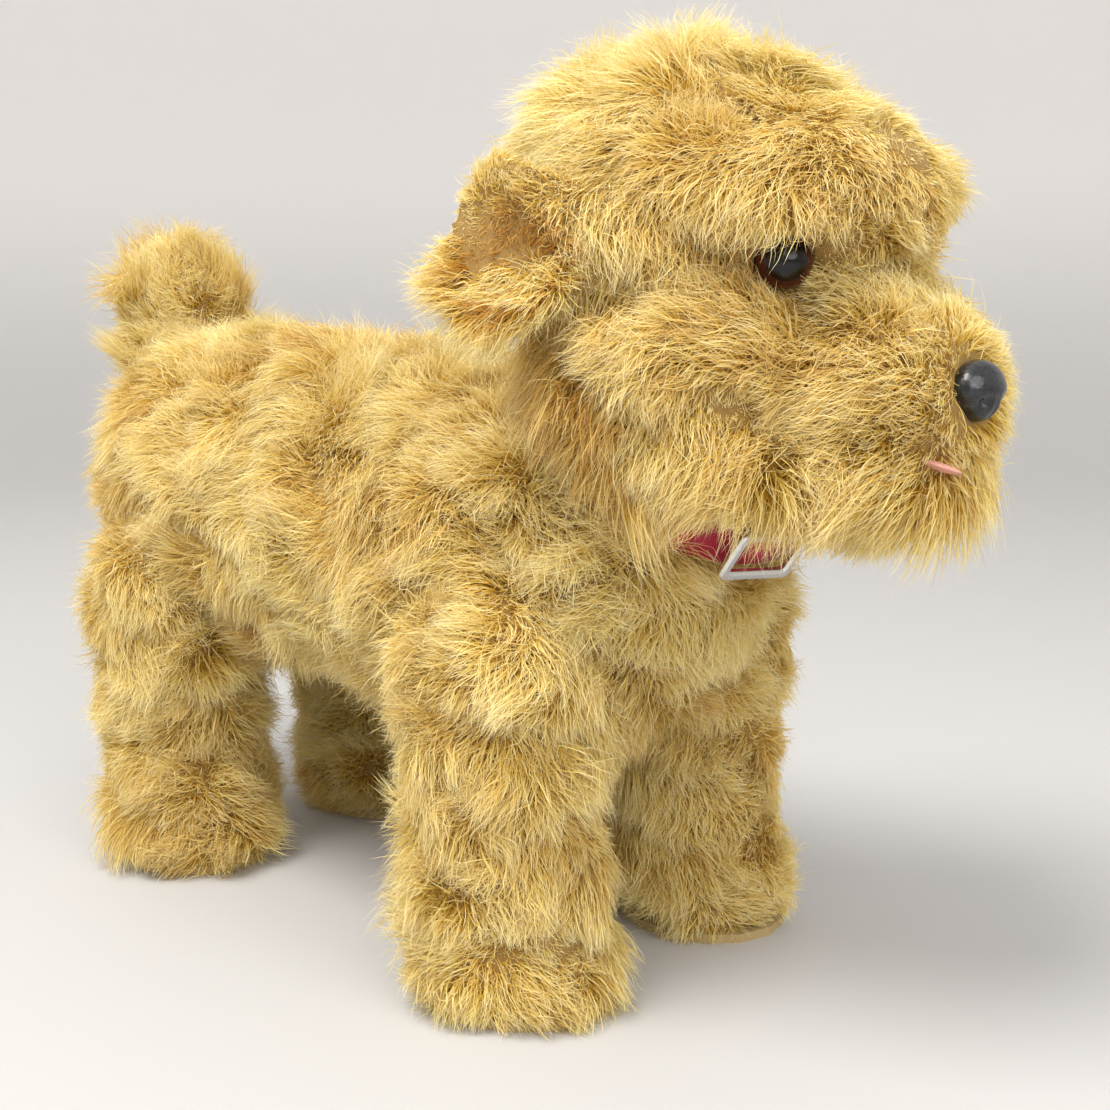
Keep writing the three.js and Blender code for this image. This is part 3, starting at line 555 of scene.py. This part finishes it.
def leg_of(p):
    """Number of the leg that a torso point belongs to, or -1."""
    found = np.full(len(p), -1)
    for number, leg in enumerate(LEGS):
        out = p - HIP[leg]
        side = np.sign(HIP[leg][1])
        barrel = (np.hypot(out[:, 0], out[:, 2]) < 23) & (side * p[:, 1] > 24)
        shank = (out[:, 2] < -15) & (np.abs(out[:, 0]) < 30) & (side * p[:, 1] > 8)
        found[barrel | shank] = number
    return found


PILE_LENGTH, LEG_PILE_LENGTH = 10.0, 8.8
# Where the pile is longer or shorter round a place: place, radius, softness, change
TORSO_SPOTS = (
    (TAIL_ROOT + TAIL_AXIS * 10, 14, 10, 2.5),
    (BUCKLE, 12, 8, -5.0),
)
HEAD_SPOTS = (
    (EYES + [8, 0, -4], 10, 18, -1.2),                      # face
    (NOSE, 7, 12, -4.0),
    (EYES + [11, 0, 15], 14, 14, -4.4),                     # brow
    (EYES + [7, 0, -2], 10, 7, 4.5),                        # bridge between the eyes
    (BUCKLE, 14, 8, -6.0),
    (NOSE + [2, 0, -17], 8, 8, 3.0),                        # beard
    (np.array([EYES[0] - 34, -8, CROWN_Z]), 6, 8, 2.6),     # tuft on the crown
    *((eye, 7.5, 7, -5.6) for eye in EYE.values()),
    *((eye + [2, 0, 10], 5, 5, -2.2) for eye in EYE.values()),
    (TONGUE, 4, 7, -4.0),
)


def spotted(p, length, spots):
    return length + sum(change * near(p, place, radius, soft) for place, radius, soft, change in spots)


def length_torso(p):
    x, y, z = p.T
    length = spotted(p, np.where(leg_of(p) >= 0, LEG_PILE_LENGTH, PILE_LENGTH), TORSO_SPOTS)
    length -= 1.0 * ease(z, 12, 2)                          # feet
    length += 1.2 * tail_share(p)
    length += 2.0 * ease(x, 55, 75) * (1 - throat_window(p))
    length -= 2.6 * ease(x, 25, 45) * ease(y, 12, 30)       # left of the chest
    length -= 2.2 * ease(x, -98, -106) * ease(z, 112, 96)   # rump
    length += 3.0 * neck_ring(p)
    return length


def length_head(p):
    x, y, z = p.T
    window = throat_window(p)
    length = spotted(p, np.full(len(p), PILE_LENGTH), HEAD_SPOTS)
    length += 1.6 * ease(z, CROWN_Z - 26, CROWN_Z - 8)
    length -= 2.5 * ease(y, 2, 14) * ease(z, EYES[2] - 2, EYES[2] + 8) * ease(x, 80, 100)   # left brow
    length += 3.0 * ease(x, 72, 58) * ease(z, CROWN_Z - 12, CROWN_Z - 30)                   # nape
    length -= 2.6 * ease(z, 116, 106) * window                                              # under the jaw
    rim = ease((p - SEAT) @ NECK_AXIS, 16, 5)
    length += rim * (4.0 * (1 - window) - 2.5 * window)
    return length


def length_ear(side):
    middle, normal, half = ear_frame(side)

    def length(p):
        facing, aside = about(p, middle, normal)
        face = 4.6 + 3.6 * ease(aside, half * 0.42, half * 0.80)
        lower = ease(p[:, 2], middle[2] - 2, middle[2] - half)
        upper = ease(p[:, 2], middle[2] + 2, middle[2] + half)
        return np.where(facing > FACE_DEPTH, face, 7.0) + 4.0 * lower - 4.0 * upper
    return length


def no_painted_shading(p):
    return np.zeros(len(p))


def painted_shading_head(p):
    """Painted light and shade in the pile's tone: a painted shadow of the brow over each eye, painted shade
    behind the cheek and low on the head, and painted light on the muzzle and crown.
    """
    x, z = p[:, 0], p[:, 2]
    # painted shadow of the brow over each eye
    painted_shading = sum(0.30 * near(p, eye + [0, 0, 5], 4, 7) for eye in EYE.values())
    # painted shade behind the cheek
    painted_shading += 0.22 * ease(x, EYES[0] - 14, EYES[0] - 34) * ease(z, CROWN_Z - 32, CROWN_Z - 44)
    # painted shade low on the head
    painted_shading += 0.10 * ease(z, CROWN_Z - 36, CROWN_Z - 60)
    # painted light on the muzzle
    painted_shading -= 0.22 * near(p, NOSE + [-12, 0, 6], 14, 12)
    # painted light on the crown
    return painted_shading - 0.20 * ease(z, CROWN_Z - 30, CROWN_Z - 8)


def painted_shading_ear(side):
    middle, normal, half = ear_frame(side)

    def painted_shading(p):
        facing, aside = about(p, middle, normal)
        hollow = 1 - ease(aside, half * 0.45, half * 0.85)
        # painted shade in the hollow of the ear's outward face, and the whole ear a little lighter in tone
        return np.where(facing > FACE_DEPTH, 0.85 * hollow, 0) - 0.14
    return painted_shading


def bare_torso(p):
    height, aside = about(p, SEAT, NECK_AXIS)
    return (p[:, 2] < 0.8) | ((height > -12.5) & (aside < 36))


def bare_head(p):
    skip = (p - SEAT) @ NECK_AXIS < 1.2
    for place, radius in ((NOSE, 6.6), (EYE["right"], 6.5), (EYE["left"], 6.5)):
        skip |= np.linalg.norm(p - place, axis=1) < radius
    return skip


def nowhere(p):
    return np.zeros(len(p), bool)


MAX_STRANDS = 26000
SHORTEST = 2.2
LOCK_SIZE = 34                   # strands to each lock
TORSO_SWIRL, HEAD_SWIRL = 0.95, 0.62
LAYERS = (
    # name, strands per square millimetre, width, length share, lay in degrees, curl, steps, gathering
    ("undercoat", 0.9, 0.5, 0.85, 72, 0.25, 3, 0.4),
    ("pile", 3.2, 0.19, 1.26, 78, 0.60, 5, 0.62),
    ("fuzz", 0.85, 0.12, 1.05, 62, 0.95, 4, 0.0),
    ("stray", 0.05, 0.11, 1.25, 45, 0.6, 4, 0.0),
)


def keep_strands(name, strands, normal, wide, tone_with_painted_shading, seed, material, hold):
    """Makes ribbon pieces of up to MAX_STRANDS each; hold fixes each piece to its body or leaves it in
    place.
    """
    parts = math.ceil(len(strands) / MAX_STRANDS)
    for part in range(parts):
        pick = slice(part, None, parts)
        piece = ribbons(f"{name}_{part + 1}", strands[pick], normal[pick], wide[pick], tone_with_painted_shading[pick], seed)
        piece.data.materials.append(material)
        hold(piece)


def hold_torso(group):
    """How torso strands are held: fixed to the trunk, or, for a leg or the tail, left in place with their
    transform baked in.
    """
    if group == "root":
        return lambda piece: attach(piece, "root")
    return lambda piece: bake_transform(piece)


def make_pile(name, form, material, comb, length, bare, painted_shading):
    """All layers of pile on one form. Torso strands are parted into the trunk, each leg and the tail."""
    data = surface_of(form)
    weight = np.where(bare(data[0]), 0.0, 1.0)
    for number, (layer, density, width, share, lay, curl, steps, pull) in enumerate(LAYERS):
        seed = sum(map(ord, name)) * 10 + number
        place, normal = scatter(data, density, weight, seed)
        source = np.random.default_rng(seed + 5)
        long = length(place) * share * (1 + 0.22 * LENGTH_WAVE(place)[:, 0])
        long = np.maximum(long, SHORTEST) * source.uniform(0.62, 1.15, len(place))
        swirl = TORSO_SWIRL if name == "torso" else HEAD_SWIRL
        strands = grow(place, normal, comb(place), long, math.radians(lay), curl, swirl, seed, steps)
        locks = np.zeros(len(place), int)
        if pull:
            strands, locks = gather(strands, LOCK_SIZE, pull, seed)
        lock_tone = source.random(locks.max() + 1)[locks]
        # Each strand's tone: random over wide patches, locks and single strands, plus the painted light and
        # shade of its region
        tone_with_painted_shading = 0.55 + 0.08 * TONE_WIDE(place)[:, 0] + 0.34 * (lock_tone - 0.5) - painted_shading(place)
        tone_with_painted_shading = np.clip(tone_with_painted_shading + 0.4 * (source.random(len(place)) - 0.5), 0.02, 0.98)
        wide = width * source.uniform(0.75, 1.25, len(place))
        if name != "torso":
            keep_strands(f"{layer}_{name}", strands, normal, wide, tone_with_painted_shading, seed, material,
                         lambda piece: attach(piece, name))
            continue
        leg, tail = leg_of(place), tail_share(place) > 0.02
        groups = [("root", (leg < 0) & ~tail), ("tail", tail)]
        groups += [(LEGS[i], (leg == i) & ~tail) for i in range(len(LEGS))]
        for group, pick in groups:
            keep_strands(f"{layer}_{group}", strands[pick], normal[pick], wide[pick], tone_with_painted_shading[pick], seed,
                         material, hold_torso(group))


CUP_DEPTH = 3.4


def cup_ear(form, side):
    """Hollows the outward face of an ear."""
    middle, normal, half = ear_frame(side)
    for vertex in form.data.vertices:
        out = mm(vertex.co) - middle
        facing = out @ normal
        aside = np.linalg.norm(out - facing * normal)
        if facing > 0 and aside < half:
            vertex.co -= Vector(normal * CUP_DEPTH * MM * (1 - (aside / half) ** 2))
    form.data.update()


def dress_skin(skin, body, nodes, cloth):
    skin.data.materials.clear()
    skin.data.materials.append(cloth)
    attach(skin, body)
    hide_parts(*nodes)


def make_skins():
    """Backing skins that replace the sewn panels, and the coat. The trunk, legs and tail share one
    smoothed form for their strands, so that no edge shows where a leg or the tail leaves the trunk."""
    cloth, pile = backing_material(), pile_material()
    for body, nodes in SKIN_NODES.items():
        skin = rounded_skin("skin_" + body, nodes + (STUFFING[body],))
        dress_skin(skin, body, nodes, cloth)
    torso_nodes = [node for body, nodes in SKIN_NODES.items() if body != "head"
                   for node in nodes + (STUFFING[body],)]
    torso = rounded_skin("form_torso", torso_nodes, voxel=2.6, rounds=16)
    make_pile("torso", torso, pile, comb_torso, length_torso, bare_torso, no_painted_shading)
    head = rounded_skin("form_head", SKIN_NODES["head"] + (STUFFING["head"],), voxel=2.2, rounds=10)
    make_pile("head", head, pile, comb_head, length_head, bare_head, painted_shading_head)
    for form in (torso, head):
        bpy.data.objects.remove(form)
    for side in ("right", "left"):
        ear = "ear_" + side
        nodes = ("ear_outer_" + side, "ear_lining_" + side)
        skin = rounded_skin("skin_" + ear, nodes, voxel=1.2, rounds=4)
        cup_ear(skin, side)
        make_pile(ear, skin, pile, comb_ear(side), length_ear(side), nowhere, painted_shading_ear(side))
        dress_skin(skin, ear, nodes, cloth)


# ---- Eyes, nose and tongue --------------------------------------------------------------------
def turned(name, rings, sides=40):
    """A closed form turned about Z from (radius, height) rings, in millimetres, from front to back."""
    form = bmesh.new()
    rows = []
    for radius, height in rings:
        rows.append(circle(form, radius * MM, height * MM, sides if radius else 1))
    for a, b in zip(rows, rows[1:]):
        for k in range(sides):
            n = (k + 1) % sides
            if len(a) == 1:
                form.faces.new((a[0], b[k], b[n]))
            elif len(b) == 1:
                form.faces.new((a[k], b[0], a[n]))
            else:
                form.faces.new((a[k], b[k], b[n], a[n]))
    bmesh.ops.recalc_face_normals(form, faces=form.faces)
    return link_mesh(name, mesh_from(name, form))


def stand_for(piece, node, body, material):
    """Gives a detailed piece its material, its body and the CAD node that it replaces."""
    piece.data.materials.append(material)
    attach(piece, body)
    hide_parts(node)


EYE_RADIUS, EYE_HEIGHT = 5.4, 5.2
EYE_BACK = [(4.6, -2.2), (1.5, -2.4), (1.5, -9.6), (1.1, -10), (0, -10)]     # flat back and shank
WASHER_TO_EYE = 7.55


def eye_material():
    """A glossy toy eye: a large black pupil in a dark reddish brown ring, under clear lacquer."""
    material, tree, shader = node_material("toy_eye")
    place = tree.nodes.new("ShaderNodeTexCoord")
    length = tree.nodes.new("ShaderNodeVectorMath")
    length.operation = "LENGTH"
    flat = tree.nodes.new("ShaderNodeVectorMath")
    flat.operation = "MULTIPLY"
    flat.inputs[1].default_value = (1, 1, 0)
    tree.links.new(place.outputs["Object"], flat.inputs[0])
    tree.links.new(flat.outputs["Vector"], length.inputs[0])
    scaled = tree.nodes.new("ShaderNodeMath")
    scaled.operation = "MULTIPLY"
    scaled.inputs[1].default_value = 1 / (EYE_RADIUS * MM)
    tree.links.new(length.outputs["Value"], scaled.inputs[0])
    streaks = tree.nodes.new("ShaderNodeTexNoise")
    streaks.inputs["Scale"].default_value = 900
    tree.links.new(place.outputs["Object"], streaks.inputs["Vector"])
    wander = tree.nodes.new("ShaderNodeMath")
    wander.operation = "MULTIPLY_ADD"
    wander.inputs[1].default_value = 0.07
    tree.links.new(streaks.outputs["Fac"], wander.inputs[0])
    tree.links.new(scaled.outputs["Value"], wander.inputs[2])
    colour = ramp(tree, wander.outputs["Value"], [
        (0, (0.004, 0.003, 0.003)), (0.70, (0.005, 0.004, 0.004)), (0.78, (0.05, 0.014, 0.008)),
        (0.94, (0.085, 0.022, 0.010)), (1, (0.02, 0.006, 0.004))])
    tree.links.new(colour, shader.inputs["Base Color"])
    shader.inputs["Roughness"].default_value = 0.10
    shader.inputs["Specular IOR Level"].default_value = 0.25
    shader.inputs["Coat Weight"].default_value = 0.25
    shader.inputs["Coat Roughness"].default_value = 0.03
    return material


def make_eye(side, material):
    dome = [(0, EYE_HEIGHT)]
    for turn in (math.radians(8 * i) for i in range(1, 15)):
        dome.append((EYE_RADIUS * math.sin(turn), EYE_HEIGHT * math.cos(turn)))
    eye = turned("toy_eye_" + side, dome + EYE_BACK)
    aim = Vector((0.72, outwards(side) * 0.69, 0.02)).normalized()
    washer = Vector(mm(box_centre("eye_washer_" + side)))
    eye.rotation_euler = aim.to_track_quat("Z", "Y").to_euler()
    eye.location = (washer + aim * WASHER_TO_EYE) * MM
    stand_for(eye, "eye_" + side, "head", material)


def nose_material():
    material, tree, shader = node_material("moulded_nose")
    place = tree.nodes.new("ShaderNodeTexCoord")
    pebble = tree.nodes.new("ShaderNodeTexVoronoi")
    pebble.inputs["Scale"].default_value = 1500
    tree.links.new(place.outputs["Object"], pebble.inputs["Vector"])
    dust = tree.nodes.new("ShaderNodeTexNoise")
    dust.inputs["Scale"].default_value = 500
    dust.inputs["Detail"].default_value = 5
    tree.links.new(place.outputs["Object"], dust.inputs["Vector"])
    colour = ramp(tree, dust.outputs["Fac"], [(0.35, (0.010, 0.011, 0.013)), (0.62, (0.022, 0.024, 0.027)),
                                              (0.75, (0.07, 0.07, 0.065))])
    tree.links.new(colour, shader.inputs["Base Color"])
    bump = tree.nodes.new("ShaderNodeBump")
    bump.inputs["Strength"].default_value = 0.25
    bump.inputs["Distance"].default_value = 0.0002
    tree.links.new(pebble.outputs["Distance"], bump.inputs["Height"])
    tree.links.new(bump.outputs["Normal"], shader.inputs["Normal"])
    shader.inputs["Roughness"].default_value = 0.22
    shader.inputs["Specular IOR Level"].default_value = 0.35
    shader.inputs["Coat Weight"].default_value = 0.25
    shader.inputs["Coat Roughness"].default_value = 0.08
    return material


NOSE_HALF = (4.4, 6.6, 5.6)       # half depth, width and height of the button
NOSE_HEIGHT = mm(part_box("nose")[1])[2] - 4.6
NOSE_SHANK_RADIUS, NOSE_SHANK_LENGTH, NOSE_SHANK_MIDDLE = 1.5, 9, -6


def make_nose():
    """A moulded button: wide and domed above, narrow below, with two nostrils and a groove."""
    form = bmesh.new()
    bmesh.ops.create_uvsphere(form, u_segments=56, v_segments=40, radius=1)
    for vertex in form.verts:
        a, b, c = vertex.co
        b *= 1 - 0.42 * float(ease(np.array(-c), -0.15, 1.0))
        for side in (-1, 1):
            dent = math.exp(-(((b - side * 0.42) / 0.17) ** 2 + ((c + 0.30) / 0.16) ** 2))
            a -= 0.28 * dent * (a > 0)
        a -= 0.10 * math.exp(-(b / 0.07) ** 2) * float(ease(np.array(-c), -0.1, 0.4)) * (a > 0)
        depth, width, height = NOSE_HALF
        vertex.co = (a * depth * MM, b * width * MM, (c * height - 0.9) * MM)
    radius = NOSE_SHANK_RADIUS * MM
    shank = bmesh.ops.create_cone(form, cap_ends=True, segments=20, radius1=radius, radius2=radius,
                                  depth=NOSE_SHANK_LENGTH * MM)
    for vertex in shank["verts"]:
        x, y, z = vertex.co
        vertex.co = (z + NOSE_SHANK_MIDDLE * MM, y, x)
    bmesh.ops.recalc_face_normals(form, faces=form.faces)
    nose = link_mesh("nose_button", mesh_from("nose_button", form))
    nose.location = (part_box("nose")[1].x - NOSE_HALF[0] * MM, 0, NOSE_HEIGHT * MM)
    stand_for(nose, "nose", "head", nose_material())


def felt_material(name, dark, light):
    material, tree, shader = node_material(name)
    fibres = tree.nodes.new("ShaderNodeTexNoise")
    fibres.inputs["Scale"].default_value = 1400
    fibres.inputs["Detail"].default_value = 6
    colour = ramp(tree, fibres.outputs["Fac"], [(0.3, dark), (0.7, light)])
    tree.links.new(colour, shader.inputs["Base Color"])
    bump = tree.nodes.new("ShaderNodeBump")
    bump.inputs["Strength"].default_value = 0.5
    bump.inputs["Distance"].default_value = 0.0002
    tree.links.new(fibres.outputs["Fac"], bump.inputs["Height"])
    tree.links.new(bump.outputs["Normal"], shader.inputs["Normal"])
    shader.inputs["Roughness"].default_value = 0.9
    return material


def detailed_copy(node, name, kind, **settings):
    """A smooth-faced copy of a CAD node, welded and then refined by one modifier."""
    piece = joined_nodes(name, (node,))
    weld = piece.modifiers.new("weld", "WELD")
    weld.merge_threshold = 1e-5
    refine = piece.modifiers.new("refine", kind)
    for setting, value in settings.items():
        setattr(refine, setting, value)
    apply_modifiers(piece)
    for polygon in piece.data.polygons:
        polygon.use_smooth = True
    return piece


def make_face():
    lacquer = eye_material()
    for side in ("right", "left"):
        make_eye(side, lacquer)
    make_nose()
    tongue = detailed_copy("tongue", "felt_tongue", "SUBSURF", levels=2)
    stand_for(tongue, "tongue", "head",
              felt_material("tongue_felt", (0.62, 0.27, 0.20), (0.86, 0.47, 0.37)))


# ---- Collar -----------------------------------------------------------------------------------
def vinyl_material():
    material, tree, shader = node_material("collar_vinyl")
    place = tree.nodes.new("ShaderNodeTexCoord")
    grain = tree.nodes.new("ShaderNodeTexVoronoi")
    grain.inputs["Scale"].default_value = 1100
    tree.links.new(place.outputs["Object"], grain.inputs["Vector"])
    cloud = tree.nodes.new("ShaderNodeTexNoise")
    cloud.inputs["Scale"].default_value = 120
    cloud.inputs["Detail"].default_value = 4
    tree.links.new(place.outputs["Object"], cloud.inputs["Vector"])
    colour = ramp(tree, cloud.outputs["Fac"], [(0.3, (0.30, 0.010, 0.030)), (0.7, (0.46, 0.026, 0.062))])
    tree.links.new(colour, shader.inputs["Base Color"])
    bump = tree.nodes.new("ShaderNodeBump")
    bump.inputs["Strength"].default_value = 0.35
    bump.inputs["Distance"].default_value = 0.00015
    tree.links.new(grain.outputs["Distance"], bump.inputs["Height"])
    tree.links.new(bump.outputs["Normal"], shader.inputs["Normal"])
    shader.inputs["Roughness"].default_value = 0.45
    shader.inputs["Specular IOR Level"].default_value = 0.22
    return material


def chrome_material():
    material, tree, shader = node_material("buckle_chrome")
    scuff = tree.nodes.new("ShaderNodeTexNoise")
    scuff.inputs["Scale"].default_value = 700
    scuff.inputs["Detail"].default_value = 6
    colour = ramp(tree, scuff.outputs["Fac"], [(0.35, (0.62, 0.61, 0.58)), (0.65, (0.80, 0.79, 0.77))])
    tree.links.new(colour, shader.inputs["Base Color"])
    rough = tree.nodes.new("ShaderNodeMapRange")
    rough.inputs["To Min"].default_value = 0.12
    rough.inputs["To Max"].default_value = 0.34
    tree.links.new(scuff.outputs["Fac"], rough.inputs["Value"])
    tree.links.new(rough.outputs["Result"], shader.inputs["Roughness"])
    shader.inputs["Metallic"].default_value = 1
    return material


def make_collar():
    for node, name, width, sharp, slot, material in (
            ("collar_strap", "strap", 0.3, 40, "collar_vinyl", vinyl_material()),
            ("collar_buckle", "buckle", 0.2, 30, "buckle_chrome", chrome_material())):
        piece = detailed_copy(node, name, "BEVEL", width=width * MM, segments=3, limit_method="ANGLE",
                              angle_limit=math.radians(sharp))
        stand_for(piece, node, "collar", material)


# ---- What the skins hide ------------------------------------------------------------------------
def plain_material(name, scale, dark, light, roughness, metallic=0.0):
    material, tree, shader = node_material(name)
    noise = tree.nodes.new("ShaderNodeTexNoise")
    noise.inputs["Scale"].default_value = scale
    noise.inputs["Detail"].default_value = 5
    colour = ramp(tree, noise.outputs["Fac"], [(0.3, dark), (0.7, light)])
    tree.links.new(colour, shader.inputs["Base Color"])
    shader.inputs["Roughness"].default_value = roughness
    shader.inputs["Metallic"].default_value = metallic
    return material


def finish_hidden_nodes():
    """Materials for the CAD nodes that stay: name parts and what they are made of."""
    finishes = (
        (("_stuffing",),
         plain_material("cotton_filling", 300, (0.66, 0.62, 0.53), (0.84, 0.81, 0.72), 0.95)),
        (("_wire", "neck_washer", "neck_pin"),
         plain_material("drawn_steel", 800, (0.33, 0.34, 0.36), (0.52, 0.53, 0.55), 0.35, 1.0)),
        (("neck_disc",),
         plain_material("pressed_board", 500, (0.26, 0.17, 0.09), (0.42, 0.30, 0.17), 0.85)),
        (("eye_washer", "nose_washer"),
         plain_material("moulded_washer", 400, (0.62, 0.62, 0.59), (0.72, 0.72, 0.69), 0.5)),
        (("_sole",), felt_material("sole_cloth", (0.40, 0.28, 0.11), (0.56, 0.42, 0.20))),
    )
    for name, node in frame["nodes"].items():
        for keys, material in finishes:
            if any(key in name for key in keys):
                node.data.materials.clear()
                node.data.materials.append(material)


make_camera()
make_floor()
make_light()
make_skins()
make_face()
make_collar()
finish_hidden_nodes()
